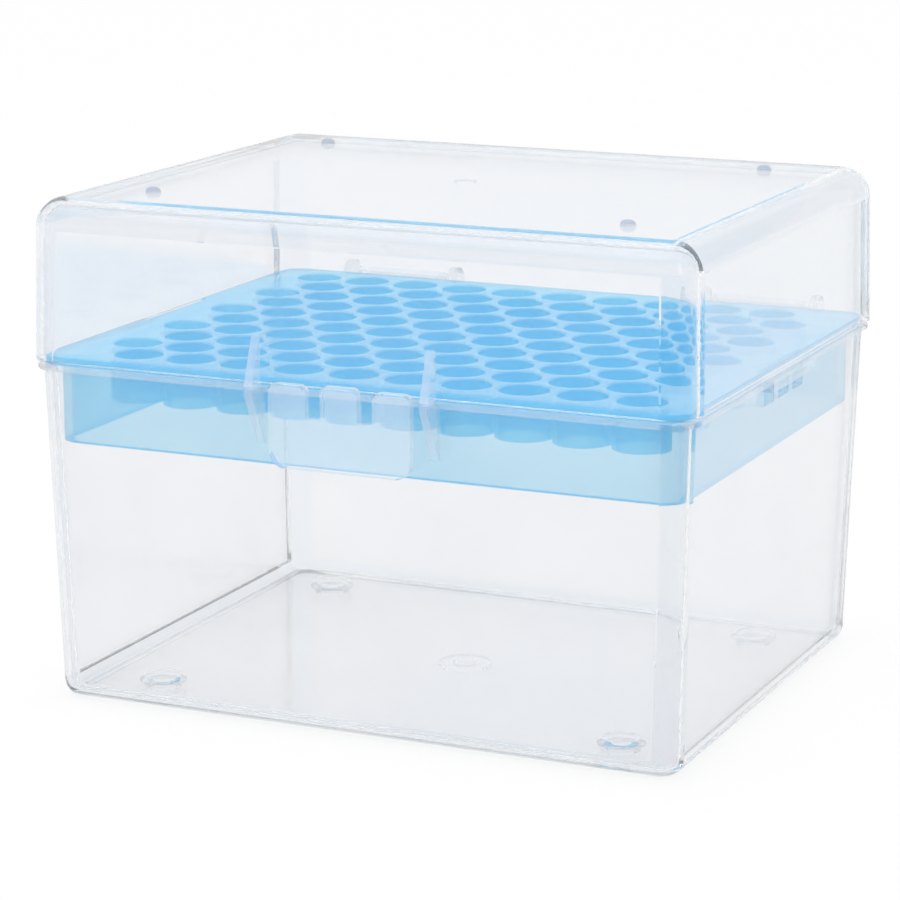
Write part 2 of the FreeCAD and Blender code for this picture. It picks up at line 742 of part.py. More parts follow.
faults = []
for item in doc.Objects:
    if "Invalid" in item.State or "Error" in item.State:
        faults.append("%s is %s" % (item.Label, item.State))
for piece in pieces:
    shape = piece.Shape
    if shape.isNull() or not shape.isValid() or len(shape.Solids) != 1:
        faults.append("%s has no single valid solid" % piece.Label)
if faults:
    raise RuntimeError("; ".join(faults))

os.makedirs("parts", exist_ok=True)
for piece in pieces:
    piece.Shape.exportStep(os.path.join("parts", piece.Label + ".step"))
    box = piece.Shape.BoundBox
    print(
        "%s: %.1f x %.1f x %.1f mm, %.1f cm3"
        % (piece.Label, box.XLength, box.YLength, box.ZLength, piece.Shape.Volume / 1000)
    )
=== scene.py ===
# %% [markdown]
# # A box for pipette tips
#
# The real object is three plastic mouldings: a clear tub, a clear hinged lid with a snap latch,
# and a blue rack with a hundred holes that stands in the tub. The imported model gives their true
# places and sizes, and this lesson gives them their looks. Everything is in metres, in the frame
# of that model.

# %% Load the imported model
import math

import bmesh
import bpy
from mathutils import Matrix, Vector


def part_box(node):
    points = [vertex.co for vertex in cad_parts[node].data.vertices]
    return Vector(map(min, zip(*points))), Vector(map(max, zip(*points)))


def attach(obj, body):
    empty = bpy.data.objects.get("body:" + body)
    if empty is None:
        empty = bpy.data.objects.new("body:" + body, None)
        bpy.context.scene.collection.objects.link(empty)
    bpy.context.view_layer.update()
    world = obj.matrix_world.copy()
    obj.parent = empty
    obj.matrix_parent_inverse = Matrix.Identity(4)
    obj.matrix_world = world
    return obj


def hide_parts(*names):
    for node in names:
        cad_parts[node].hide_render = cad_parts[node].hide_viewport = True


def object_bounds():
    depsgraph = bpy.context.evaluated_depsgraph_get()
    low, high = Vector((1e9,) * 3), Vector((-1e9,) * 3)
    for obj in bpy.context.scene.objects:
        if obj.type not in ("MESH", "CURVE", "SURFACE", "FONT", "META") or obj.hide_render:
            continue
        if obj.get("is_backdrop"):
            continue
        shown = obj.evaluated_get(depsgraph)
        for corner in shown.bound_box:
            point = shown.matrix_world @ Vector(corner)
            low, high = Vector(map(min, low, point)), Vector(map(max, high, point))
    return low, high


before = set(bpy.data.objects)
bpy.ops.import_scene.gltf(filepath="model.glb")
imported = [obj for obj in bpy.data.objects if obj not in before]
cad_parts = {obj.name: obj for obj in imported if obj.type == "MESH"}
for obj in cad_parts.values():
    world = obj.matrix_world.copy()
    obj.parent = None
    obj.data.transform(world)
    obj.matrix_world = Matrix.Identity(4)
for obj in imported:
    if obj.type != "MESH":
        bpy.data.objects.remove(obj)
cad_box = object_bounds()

MM = 0.001
TUB_LOW, TUB_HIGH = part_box("base_box")
RACK_LOW, RACK_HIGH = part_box("tip_rack")
LID_LOW, LID_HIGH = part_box("lid")
SIZES = {"box": cad_box[1] - cad_box[0], "tub": TUB_HIGH - TUB_LOW, "rack": RACK_HIGH - RACK_LOW}
SIZES["lid"] = LID_HIGH - LID_LOW
for name, size in SIZES.items():
    print(name, "in mm:", [round(part / MM, 1) for part in size])

# %% [markdown]
# Operators act on whatever is selected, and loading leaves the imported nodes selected. By hand one
# would click in the view. A script can't, so every step starts from a clean slate, and vertices,
# edges and faces are then picked by where they are.


# %% Helpers for selecting
SAME_PLACE = 0.02 * MM


def clean_slate():
    if bpy.context.object and bpy.context.object.mode != "OBJECT":
        bpy.ops.object.mode_set(mode="OBJECT")
    bpy.ops.object.select_all(action="DESELECT")


def take(piece):
    clean_slate()
    piece.select_set(True)
    bpy.context.view_layer.objects.active = piece
    return piece


def edit(piece, part="VERT"):
    take(piece)
    bpy.ops.object.mode_set(mode="EDIT")
    bpy.ops.mesh.select_mode(type=part)


def pick(wanted, part="VERT"):
    """Selects the vertices, edges or faces in edit mode whose middle passes the test wanted."""
    bpy.ops.mesh.select_mode(type=part)
    bpy.ops.mesh.select_all(action="DESELECT")
    mesh = bmesh.from_edit_mesh(bpy.context.object.data)
    if part == "VERT":
        found = [v for v in mesh.verts if wanted(v.co)]
    elif part == "EDGE":
        found = [e for e in mesh.edges if wanted((e.verts[0].co + e.verts[1].co) / 2)]
    else:
        found = [f for f in mesh.faces if wanted(f.calc_center_median())]
    for item in found:
        item.select_set(True)
    mesh.select_flush_mode()
    bmesh.update_edit_mesh(bpy.context.object.data)
    return len(found)


def near(value, target):
    return abs(value - target) < SAME_PLACE


def leave(piece, name):
    """Leaves edit mode, and settles a piece with its place in its mesh."""
    bpy.ops.object.mode_set(mode="OBJECT")
    take(piece)
    bpy.ops.object.transform_apply(location=True, rotation=True, scale=True)
    piece.name = name
    piece.data.name = name
    return piece


def apply_modifier(piece, kind, **settings):
    take(piece)
    modifier = piece.modifiers.new(kind.lower(), kind)
    for key, value in settings.items():
        setattr(modifier, key, value)
    bpy.ops.object.modifier_apply(modifier=modifier.name)


def tell(piece):
    print(piece.name, "has", sum(len(f.vertices) - 2 for f in piece.data.polygons), "triangles")


print("a point within", round(SAME_PLACE / MM, 2), "mm of a height counts as lying at it")


# %% [markdown]
# The box is seen from the front right and a little above, where its latch, its vented side and
# the rack's holes all show. The camera stands far away with a long lens, so that the walls hardly
# converge. A near camera with a short lens would spread them.

# %% Camera
CAMERA_PLACE = Vector((234.776, -532.368, 177.164)) * MM
CAMERA_AZIMUTH = math.radians(24.147)
CAMERA_ELEVATION = math.radians(13.186)
LENS = 129.0
SENSOR_WIDTH = 36.0
NEAREST_SEEN = 0.01

camera_data = bpy.data.cameras.new("camera")
camera_data.lens = LENS
camera_data.sensor_width = SENSOR_WIDTH
camera_data.clip_start = NEAREST_SEEN
camera = bpy.data.objects.new("camera", camera_data)
camera.location = CAMERA_PLACE
camera.rotation_euler = (math.pi / 2 - CAMERA_ELEVATION, 0, CAMERA_AZIMUTH)
bpy.context.scene.collection.objects.link(camera)
bpy.context.scene.camera = camera
bpy.context.scene.view_settings.view_transform = "Standard"
print("camera at", [round(c, 3) for c in camera.location])

# %% [markdown]
# Clear plastic shows what stands round it more than it shows itself. Dark surroundings would draw
# its edges in black, so the light is a white room: an even pale world with two large soft lamps.
# The world and the paper under the box are pure white where they are seen.

# %% World
ROOM_LIGHT = 1.0


def seen_at_all(tree):
    """1 for a ray that shows the background, also mirrored or through plastic, and else 0."""
    path = tree.nodes.new("ShaderNodeLightPath")
    found = path.outputs["Is Camera Ray"]
    for kind in ("Is Glossy Ray", "Is Transmission Ray"):
        either = tree.nodes.new("ShaderNodeMath")
        either.operation = "MAXIMUM"
        tree.links.new(found, either.inputs[0])
        tree.links.new(path.outputs[kind], either.inputs[1])
        found = either.outputs[0]
    return found


world = bpy.data.worlds.new("white_room")
world.use_nodes = True
bpy.context.scene.world = world
room = world.node_tree
background = room.nodes["Background"]
level = room.nodes.new("ShaderNodeMapRange")
level.inputs["To Min"].default_value = ROOM_LIGHT
level.inputs["To Max"].default_value = 1.0
room.links.new(seen_at_all(room), level.inputs["Value"])
room.links.new(level.outputs["Result"], background.inputs["Strength"])
background.inputs["Color"].default_value = (1, 1, 1, 1)
print("the room's light on the box:", ROOM_LIGHT)


# %% [markdown]
# Two soft rectangular lamps give the plastic its highlights: a broad one above, and a tall narrow
# one at the front right. Small hard lamps would leave glaring spots on every rounded edge.


# %% Lamps
def add_lamp(name, place, target, width, height, power):
    """A soft rectangular lamp that looks at a target."""
    lamp_data = bpy.data.lights.new(name, "AREA")
    lamp_data.shape = "RECTANGLE"
    lamp_data.size = width
    lamp_data.size_y = height
    lamp_data.energy = power
    lamp = bpy.data.objects.new(name, lamp_data)
    lamp.location = place
    lamp.rotation_euler = (Vector(target) - Vector(place)).to_track_quat("-Z", "Y").to_euler()
    bpy.context.scene.collection.objects.link(lamp)


add_lamp(
    "soft_top", place=(-0.15, -0.1, 0.75), target=(0, 0, 0.05), width=0.6, height=0.6, power=0.8
)
add_lamp(
    "strip_front_right",
    place=(0.55, -0.45, 0.35),
    target=(0, 0, 0.06),
    width=0.10,
    height=0.5,
    power=0.35,
)

# %% [markdown]
# The box stands on white paper that has no edge in view. A plain white plane would turn grey away
# from the lamps. So the sheet glows where it is seen, and still takes the box's soft shadow.

# %% The sheet under the box
SHEET_GLOW = 0.85
SHEET_WHITE = 0.94
SHEET_ROUGHNESS = 0.9
FLOOR_SIZE = 6.0
FLOOR_GAP = 0.2 * MM

clean_slate()
bpy.ops.mesh.primitive_plane_add(size=FLOOR_SIZE, location=(0, 0, cad_box[0].z - FLOOR_GAP))
floor = bpy.context.object
floor.name = "floor"
floor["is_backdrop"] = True
paper = bpy.data.materials.new("white_paper")
paper.use_nodes = True
floor.data.materials.append(paper)
sheet_nodes = paper.node_tree.nodes
sheet_links = paper.node_tree.links
sheet_shader = sheet_nodes["Principled BSDF"]
sheet_shader.inputs["Base Color"].default_value = (SHEET_WHITE, SHEET_WHITE, SHEET_WHITE, 1)
sheet_shader.inputs["Roughness"].default_value = SHEET_ROUGHNESS
sheet_shader.inputs["Specular IOR Level"].default_value = 0.0
sheet_glow = sheet_nodes.new("ShaderNodeEmission")
sheet_glow.inputs["Color"].default_value = (1, 1, 1, 1)
sheet_mix = sheet_nodes.new("ShaderNodeMixShader")
sheet_part = sheet_nodes.new("ShaderNodeMath")
sheet_part.operation = "MULTIPLY"
sheet_part.inputs[1].default_value = SHEET_GLOW
sheet_links.new(seen_at_all(paper.node_tree), sheet_part.inputs[0])
sheet_links.new(sheet_part.outputs[0], sheet_mix.inputs["Fac"])
sheet_links.new(sheet_shader.outputs["BSDF"], sheet_mix.inputs[1])
sheet_links.new(sheet_glow.outputs["Emission"], sheet_mix.inputs[2])
sheet_links.new(sheet_mix.outputs["Shader"], sheet_nodes["Material Output"].inputs["Surface"])
print("the sheet glows at", SHEET_GLOW, "of full white where it is seen")

# %% [markdown]
# Moulded polypropylene is clear but never perfectly so. The walls are thin with parallel faces,
# so what stands behind them shows unbent, through a tint and a faint milky haze that thickens
# where the wall is seen edge on, and under a sheen that grows the same way. A glass shader would
# bend and darken all that is seen through dozens of such walls. So each finish is built up from
# thin layers: a tinted see-through one, a haze mixed over it, and a gloss mixed over both. Flow
# clouds vary the haze and its colour, fine scuffs vary the gloss, and the skin is very slightly
# wavy.


# %% The skin of the plastic
PLASTIC_IOR = 1.49
FLOW_SIZE = 26.0
SCUFF_SIZE = 160.0
SCUFF_RANGE = (0.35, 0.75)
RIPPLE_SIZE = 45.0
RIPPLE_HEIGHT = 0.4 * MM


def add_clouds(nodes, links, place, size, detail):
    clouds = nodes.new("ShaderNodeTexNoise")
    clouds.inputs["Scale"].default_value = size
    clouds.inputs["Detail"].default_value = detail
    links.new(place.outputs["Object"], clouds.inputs["Vector"])
    return clouds


def add_range(nodes, links, source, low, high, from_low=0.0, from_high=1.0):
    """Stretches a value between low and high."""
    spread = nodes.new("ShaderNodeMapRange")
    spread.inputs["From Min"].default_value = from_low
    spread.inputs["From Max"].default_value = from_high
    spread.inputs["To Min"].default_value = low
    spread.inputs["To Max"].default_value = high
    links.new(source, spread.inputs["Value"])
    return spread


def add_power(nodes, links, source, exponent):
    steep = nodes.new("ShaderNodeMath")
    steep.operation = "POWER"
    steep.inputs[1].default_value = exponent
    links.new(source, steep.inputs[0])
    return steep.outputs[0]


def add_skin(nodes, links, place, shader, pale, deep, gloss, wave):
    """Gives a shader its clouded colour, scuffed gloss and wavy skin, and returns all three."""
    flow = add_clouds(nodes, links, place, FLOW_SIZE, 1.5)
    tint = nodes.new("ShaderNodeMix")
    tint.data_type = "RGBA"
    tint.inputs["A"].default_value = (*pale, 1)
    tint.inputs["B"].default_value = (*deep, 1)
    links.new(flow.outputs["Fac"], tint.inputs["Factor"])
    links.new(tint.outputs["Result"], shader.inputs["Base Color"])
    scuffs = add_clouds(nodes, links, place, SCUFF_SIZE, 1.5)
    rough = add_range(nodes, links, scuffs.outputs["Fac"], *gloss, *SCUFF_RANGE)
    links.new(rough.outputs["Result"], shader.inputs["Roughness"])
    ripple = add_clouds(nodes, links, place, RIPPLE_SIZE, 0.0)
    bump = nodes.new("ShaderNodeBump")
    bump.inputs["Strength"].default_value = wave
    bump.inputs["Distance"].default_value = RIPPLE_HEIGHT
    links.new(ripple.outputs["Fac"], bump.inputs["Height"])
    links.new(bump.outputs["Normal"], shader.inputs["Normal"])
    shader.inputs["IOR"].default_value = PLASTIC_IOR
    return flow, rough.outputs["Result"], bump.outputs["Normal"]


print("size of flow clouds, scuffs and ripples, per metre:", FLOW_SIZE, SCUFF_SIZE, RIPPLE_SIZE)

# %% [markdown]
# The layers are mixed in one helper, which is called once for each finish. Building each finish
# by hand in the shader editor would mean seven copies of one tree.

# %% A thin wall of plastic
SKIN_WAVE = 0.08
FLOW_RANGE = (0.3, 0.7)
HAZE_SPREAD = 0.25
SHEEN_STEEPNESS = 2.6
SHEEN_FACING = 0.03
SHEEN_EDGE = 0.5


def make_thin_plastic(name, through, pale, deep, gloss, haze, edge_haze, steepness):
    """A thin wall that tints what is behind it, under a haze and a sheen."""
    material = bpy.data.materials.new(name)
    material.use_nodes = True
    nodes, links = material.node_tree.nodes, material.node_tree.links
    shader = nodes["Principled BSDF"]
    place = nodes.new("ShaderNodeTexCoord")
    flow, rough, skin = add_skin(nodes, links, place, shader, pale, deep, gloss, SKIN_WAVE)

    shader.inputs["Specular IOR Level"].default_value = 0.0
    clear = nodes.new("ShaderNodeBsdfTransparent")
    clear.inputs["Color"].default_value = (*through, 1)
    edge = nodes.new("ShaderNodeLayerWeight")
    least, most = (1 - HAZE_SPREAD) * haze, (1 + HAZE_SPREAD) * haze
    milk = add_range(nodes, links, flow.outputs["Fac"], least, most, *FLOW_RANGE)
    edge_on = add_power(nodes, links, edge.outputs["Facing"], steepness)
    body = add_range(nodes, links, edge_on, haze, edge_haze)
    links.new(milk.outputs["Result"], body.inputs["To Min"])
    hazy = nodes.new("ShaderNodeMixShader")
    links.new(body.outputs["Result"], hazy.inputs["Fac"])
    links.new(clear.outputs["BSDF"], hazy.inputs[1])
    links.new(shader.outputs["BSDF"], hazy.inputs[2])

    sheen = nodes.new("ShaderNodeBsdfGlossy")
    sheen.inputs["Color"].default_value = (1, 1, 1, 1)
    links.new(rough, sheen.inputs["Roughness"])
    links.new(skin, sheen.inputs["Normal"])
    glancing = add_power(nodes, links, edge.outputs["Facing"], SHEEN_STEEPNESS)
    share = add_range(nodes, links, glancing, SHEEN_FACING, SHEEN_EDGE)
    glossy = nodes.new("ShaderNodeMixShader")
    links.new(share.outputs["Result"], glossy.inputs["Fac"])
    links.new(hazy.outputs["Shader"], glossy.inputs[1])
    links.new(sheen.outputs["BSDF"], glossy.inputs[2])
    links.new(glossy.outputs["Shader"], nodes["Material Output"].inputs["Surface"])
    return material


print("the sheen grows from", SHEEN_FACING, "facing the eye to", SHEEN_EDGE, "edge on")

# %% [markdown]
# The seven finishes are one recipe with different amounts. The shells' walls are the clearest.
# The latch and the other small parts are a little milkier, the fins more so. The pips on the lid
# get a grey finish, which is painted shade for the darkness their domes show by bending light. The
# rack is blue, and its collars are a deeper blue as painted shade under the plate. It is deepest
# where the eye looks along the plastic, and as painted shade in the bores and between the collars.

# %% The seven thin finishes
CLEAR_STEEPNESS = 6.0
BLUE_STEEPNESS = 2.5
CLEAR_GLOSS = (0.10, 0.22)
BLUE_GLOSS = (0.14, 0.26)

clear_plastic = make_thin_plastic(
    "clear_plastic",
    through=(0.994, 0.995, 0.998),
    pale=(0.74, 0.77, 0.82),
    deep=(0.66, 0.70, 0.77),
    gloss=CLEAR_GLOSS,
    haze=0.07,
    edge_haze=0.8,
    steepness=CLEAR_STEEPNESS,
)
milky_plastic = make_thin_plastic(
    "milky_plastic",
    through=(0.985, 0.99, 0.998),
    pale=(0.82, 0.88, 0.95),
    deep=(0.76, 0.84, 0.93),
    gloss=CLEAR_GLOSS,
    haze=0.15,
    edge_haze=0.8,
    steepness=CLEAR_STEEPNESS,
)
fin_plastic = make_thin_plastic(
    "fin_plastic",
    through=(0.95, 0.97, 0.99),
    pale=(0.68, 0.79, 0.91),
    deep=(0.61, 0.74, 0.88),
    gloss=CLEAR_GLOSS,
    haze=0.3,
    edge_haze=0.85,
    steepness=CLEAR_STEEPNESS,
)
# Grey pips: painted shade, for the darkness their domes show by bending the light.
pip_painted_shade = make_thin_plastic(
    "pip_painted_shade",
    through=(0.9, 0.93, 0.97),
    pale=(0.40, 0.46, 0.56),
    deep=(0.34, 0.40, 0.51),
    gloss=CLEAR_GLOSS,
    haze=0.4,
    edge_haze=0.8,
    steepness=CLEAR_STEEPNESS,
)
blue_plastic = make_thin_plastic(
    "blue_plastic",
    through=(0.885, 0.985, 1.0),
    pale=(0.09, 0.61, 0.99),
    deep=(0.05, 0.57, 0.97),
    gloss=BLUE_GLOSS,
    haze=0.22,
    edge_haze=0.6,
    steepness=BLUE_STEEPNESS,
)
# Deeper blue of the collars: painted shade, for the shade under the plate.
collar_painted_shade = make_thin_plastic(
    "collar_painted_shade",
    through=(0.78, 0.96, 1.0),
    pale=(0.07, 0.58, 0.98),
    deep=(0.04, 0.54, 0.96),
    gloss=BLUE_GLOSS,
    haze=0.24,
    edge_haze=0.6,
    steepness=BLUE_STEEPNESS,
)
# Deep blue: plastic seen edge on, and painted shade in the bores and between the collars.
edge_blue_and_painted_shade = make_thin_plastic(
    "edge_blue_and_painted_shade",
    through=(0.6, 0.93, 0.99),
    pale=(0.04, 0.52, 0.92),
    deep=(0.03, 0.48, 0.89),
    gloss=BLUE_GLOSS,
    haze=0.5,
    edge_haze=0.8,
    steepness=BLUE_STEEPNESS,
)
print("finish of the shells' walls:", clear_plastic.name, "and of the rack:", blue_plastic.name)

# %% [markdown]
# Along the rounded corners the wall's two faces aren't parallel to the eye, so there the plastic
# bends what is behind it, and that draws the box's edges. Dark lines could be painted there, but
# they wouldn't follow the eye. So those faces get a solid clear finish that refracts.

# %% Bending finish for the rounded corners
BEND_TINT = (0.91, 0.925, 0.95)
BEND_DEEP = (0.87, 0.89, 0.92)
BEND_CLEAR = 0.97
BEND_SHARE = 0.93
BEND_IOR = 1.4
BEND_GLOSS = (0.02, 0.06)
BEND_WAVE = 0.01

bending_plastic = bpy.data.materials.new("bending_plastic")
bending_plastic.use_nodes = True
bend_nodes, bend_links = bending_plastic.node_tree.nodes, bending_plastic.node_tree.links
bend_shader = bend_nodes["Principled BSDF"]
bend_place = bend_nodes.new("ShaderNodeTexCoord")
add_skin(
    bend_nodes, bend_links, bend_place, bend_shader, BEND_TINT, BEND_DEEP, BEND_GLOSS, BEND_WAVE
)
bend_shader.inputs["Transmission Weight"].default_value = BEND_CLEAR
bend_shader.inputs["Alpha"].default_value = BEND_SHARE
bend_shader.inputs["IOR"].default_value = BEND_IOR
print("bending finish lets through", BEND_SHARE, "of the light bent, and the rest straight")

# %% [markdown]
# Which face gets which finish is read from the face itself: its direction, its area or its place.
# Painting by hand would be lost at each change of shape.

# %% Giving out the finishes
FLAT = 0.999
BROAD_AREA = 1.2 * MM * MM
FIN_X = 16.45 * MM
FIN_REACH = 1.2 * MM


def give_finishes(piece, wall_finish, is_wall):
    """One finish for the faces of the piece's walls, and the bending one for its rounded edges."""
    piece.data.materials.clear()
    piece.data.materials.append(wall_finish)
    piece.data.materials.append(bending_plastic)
    for face in piece.data.polygons:
        face.material_index = 0 if is_wall(face) else 1


def refinish(piece, finish, wanted):
    """Gives another finish to the faces that pass the test wanted, and counts them."""
    slots = piece.data.materials
    if slots.find(finish.name) < 0:
        slots.append(finish)
    found = [face for face in piece.data.polygons if wanted(face)]
    for face in found:
        face.material_index = slots.find(finish.name)
    return len(found)


def lies_flat(face):
    return max(abs(part) for part in face.normal) > FLAT


def is_broad(face):
    return face.area > BROAD_AREA


def is_fin(face):
    """True on the broad faces of the grip fins, which stand beside the latch on both mouldings."""
    return is_broad(face) and face.center.y < 0 and abs(abs(face.center.x) - FIN_X) < FIN_REACH


print("small parts' faces under", round(BROAD_AREA / MM / MM, 1), "mm2 get the bending finish")


# %% [markdown]
# A ray that looks through the rack passes a few dozen thin walls. It has to be followed through
# them all, or the rack turns black.

# %% Depth of the see-through paths
paths = bpy.context.scene.cycles
paths.transparent_max_bounces = 32
paths.max_bounces = 16
paths.diffuse_bounces = 1
paths.glossy_bounces = 2
paths.transmission_bounces = 16
print("walls that a ray may pass:", paths.transparent_max_bounces)

# %% [markdown]
# The tub and the lid are thin shells with rounded edges, and clear plastic shows every unevenness
# of its surface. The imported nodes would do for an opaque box, but their corners have few facets.
# So each shell is modelled afresh, and both start from the same few sizes, which are worked out
# here.

# %% Sizes that the two shells share
PLATE_THICKNESS = 1.45 * MM
PLATE_CORNER = 4.0 * MM
PLATE_GAP = 0.3 * MM
LID_WALL = 1.5 * MM
LID_GAP = 0.5 * MM
LID_TOP_ROUND = 5.4 * MM
LID_LEAN = 0.5 * MM
PIP_HEIGHT = 1.0 * MM
TUB_INSET = 1.4 * MM
TUB_WALL = 1.3 * MM
TUB_CORNER = 4.4 * MM
TUB_BOTTOM_ROUND = 2.6 * MM
TUB_DRAFT = math.radians(1.55)
RIM_HEIGHT = 1.0 * MM
RIM_SETBACK = 0.35 * MM

rack_middle = (RACK_LOW + RACK_HIGH) / 2
plate_top = RACK_HIGH.z
plate_under = plate_top - PLATE_THICKNESS
lid_length = RACK_HIGH.x - RACK_LOW.x + 2 * (PLATE_GAP + LID_WALL)
lid_depth = RACK_HIGH.y - RACK_LOW.y + 2 * (PLATE_GAP + LID_WALL)
lid_rim = plate_under + LID_GAP
lid_top = LID_HIGH.z - PIP_HEIGHT
tub_length = lid_length - 2 * TUB_INSET
tub_depth = lid_depth - 2 * TUB_INSET
tub_lean = plate_under * math.tan(TUB_DRAFT)
print("lid's shell, mm:", round(lid_length / MM, 1), round(lid_depth / MM, 1))


# %% [markdown]
# Both shells are made alike: the upright edges of a box are bevelled, then the edges round its
# closed end, the open end is deleted, and Solidify gives the wall. A subdivided cube or a lofted
# surface would round the corners too, but bevels leave the walls flat and give the corners even
# rows of four-sided faces, through which light bends smoothly.

# %% A box with rounded upright edges
EDGE_SOFTNESS = 0.2 * MM


def upright_box(name, length, depth, low, high, corner, steps):
    """A closed box about the rack's middle whose four upright edges are rounded."""
    clean_slate()
    middle = (rack_middle.x, rack_middle.y, (low + high) / 2)
    bpy.ops.mesh.primitive_cube_add(size=1, location=middle)
    box = bpy.context.object
    bpy.ops.transform.resize(value=(length, depth, high - low))
    bpy.ops.object.transform_apply(location=True, rotation=True, scale=True)
    edit(box)
    pick(lambda co: near(co.z, (low + high) / 2), "EDGE")
    bpy.ops.mesh.bevel(offset=corner, segments=steps, affect="EDGES")
    box.name = name
    return box


def round_end(height, size, steps):
    """Rounds the edges of the closed end that lies at one height."""
    pick(lambda co: near(co.z, height), "EDGE")
    bpy.ops.mesh.bevel(offset=size, segments=steps, affect="EDGES")


def open_end(height):
    pick(lambda co: near(co.z, height), "FACE")
    bpy.ops.mesh.delete(type="FACE")


def soften(height):
    """Takes the sharpness off the edges that lie at one height."""
    pick(lambda co: near(co.z, height), "EDGE")
    bpy.ops.mesh.bevel(offset=EDGE_SOFTNESS, segments=2, affect="EDGES")


def give_wall(shell, wall):
    bpy.ops.object.mode_set(mode="OBJECT")
    apply_modifier(shell, "SOLIDIFY", thickness=wall, offset=-1, use_even_offset=True)


print("the open ends are softened by", round(EDGE_SOFTNESS / MM, 1), "mm")

# %% [markdown]
# Small parts of the mouldings, such as the latch, the fins, the ears and the knuckles, are
# flat-sided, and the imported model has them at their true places. Modelling them again would only
# risk moving them. So a copy of a node has its points merged, and the faces that belong to its
# plain shell are deleted, which leaves those parts to join to the new shell. Faces with a notch
# are split before the sharp edges are bevelled, because a notched face can be cut into wrong
# triangles.


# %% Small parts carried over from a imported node
SOFT_EDGE = 0.25 * MM
SLIVER = 0.04 * MM
TOUCHING = 0.001 * MM
SAME_PLANE = math.radians(1)
SHARP_EDGE = math.radians(40)


def small_parts(node, in_shell, name):
    """A copy of a node without the faces that lie in its plain shell, with softened edges."""
    clean_slate()
    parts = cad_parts[node].copy()
    parts.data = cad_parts[node].data.copy()
    parts.parent = None
    for key in list(parts.keys()):
        del parts[key]
    bpy.context.scene.collection.objects.link(parts)
    edit(parts, "FACE")
    bpy.ops.mesh.select_all(action="SELECT")
    bpy.ops.mesh.remove_doubles(threshold=TOUCHING)
    bpy.ops.mesh.select_all(action="DESELECT")
    mesh = bmesh.from_edit_mesh(parts.data)
    for face in mesh.faces:
        face.select_set(all(in_shell(vertex.co) for vertex in face.verts))
    bmesh.update_edit_mesh(parts.data)
    bpy.ops.mesh.delete(type="FACE")
    bpy.ops.mesh.select_all(action="SELECT")
    bpy.ops.mesh.dissolve_limited(angle_limit=SAME_PLANE)
    bpy.ops.mesh.vert_connect_concave()
    bpy.ops.mesh.select_mode(type="EDGE")
    bpy.ops.mesh.select_all(action="DESELECT")
    bpy.ops.mesh.edges_select_sharp(sharpness=SHARP_EDGE)
    mesh = bmesh.from_edit_mesh(parts.data)
    sharp = [edge for edge in mesh.edges if edge.select]
    bpy.ops.mesh.select_all(action="DESELECT")
    for edge in sharp:
        edge.select_set(not any(in_shell(vertex.co) for vertex in edge.verts))
    mesh.select_flush_mode()
    bmesh.update_edit_mesh(parts.data)
    bpy.ops.mesh.bevel(offset=SOFT_EDGE, segments=2, affect="EDGES", clamp_overlap=True)
    bpy.ops.mesh.select_all(action="SELECT")
    bpy.ops.mesh.remove_doubles(threshold=SLIVER)
    bpy.ops.object.mode_set(mode="OBJECT")
    parts.name = name
    tell(parts)
    return parts


print("sharp edges of the small parts are bevelled by", round(SOFT_EDGE / MM, 2), "mm")

# %% [markdown]
# Domes, pips and recesses are round blocks that are fused to a shell or carved out of it. They
# could be drawn out of the shell's own faces, but a boolean leaves the flat faces round them
# flat.

# %% Fusing and carving
DRUM_SIDES = 40
DRUM_STEPS = 4


def combine(tool, piece, operation):
    """Fuses a tool to a piece, or carves it out of it, and removes the tool."""
    apply_modifier(piece, "BOOLEAN", operation=operation, object=tool, solver="EXACT")
    bpy.data.objects.remove(tool)


def drum(x, y, width, low, high, edge_bevel):
    """A round block with a bevelled upper edge."""
    clean_slate()
    bpy.ops.mesh.primitive_cylinder_add(
        vertices=DRUM_SIDES, radius=width / 2, depth=high - low, location=(x, y, (low + high) / 2)
    )
    block = bpy.context.object
    bpy.ops.object.transform_apply(location=True, rotation=True, scale=True)
    if edge_bevel:
        edit(block)
        pick(lambda co: near(co.z, high), "EDGE")
        bpy.ops.mesh.bevel(offset=edge_bevel, segments=DRUM_STEPS, affect="EDGES")
        bpy.ops.object.mode_set(mode="OBJECT")
    return block


print("round blocks have", DRUM_SIDES, "sides")

# %% [markdown]
# At the end a shell and its small parts become one piece. Flat shading would show each facet of
# the rounded corners, and plain smooth shading would make the flat walls look swollen. So only
# gentle edges are smoothed, and broad faces weigh most in it.

# %% Joining and smoothing a moulding
SMOOTH_SHELL = math.radians(28)


def settle(shell, extras, name, body, node):
    """Joins the small parts to the shell, and smooths the gentle edges but not the flat faces."""
    give_finishes(shell, clear_plastic, lies_flat)
    for extra in extras:
        give_finishes(extra, milky_plastic, is_broad)
        refinish(extra, fin_plastic, is_fin)
    take(shell)
    for extra in extras:
        extra.select_set(True)
    bpy.ops.object.join()
    leave(shell, name)
    bpy.ops.object.shade_smooth_by_angle(angle=SMOOTH_SHELL)
    apply_modifier(shell, "WEIGHTED_NORMAL", keep_sharp=True)
    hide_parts(node)
    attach(shell, body)
    tell(shell)
    return shell


print("edges under", round(math.degrees(SMOOTH_SHELL)), "degrees are smoothed")

# %% [markdown]
# The lid is a cover whose walls lean in a little towards the top, or it would not leave its
# mould. A tapered box would need its bevels tapered too. So the shell is made upright, and all
# that lies above its edge is then drawn in by the same small amount.

# %% The lid
CORNER_STEPS = 12
ROUND_STEPS = 12
LEAN_START = 1 * MM
LID_SLACK = 0.002 * MM

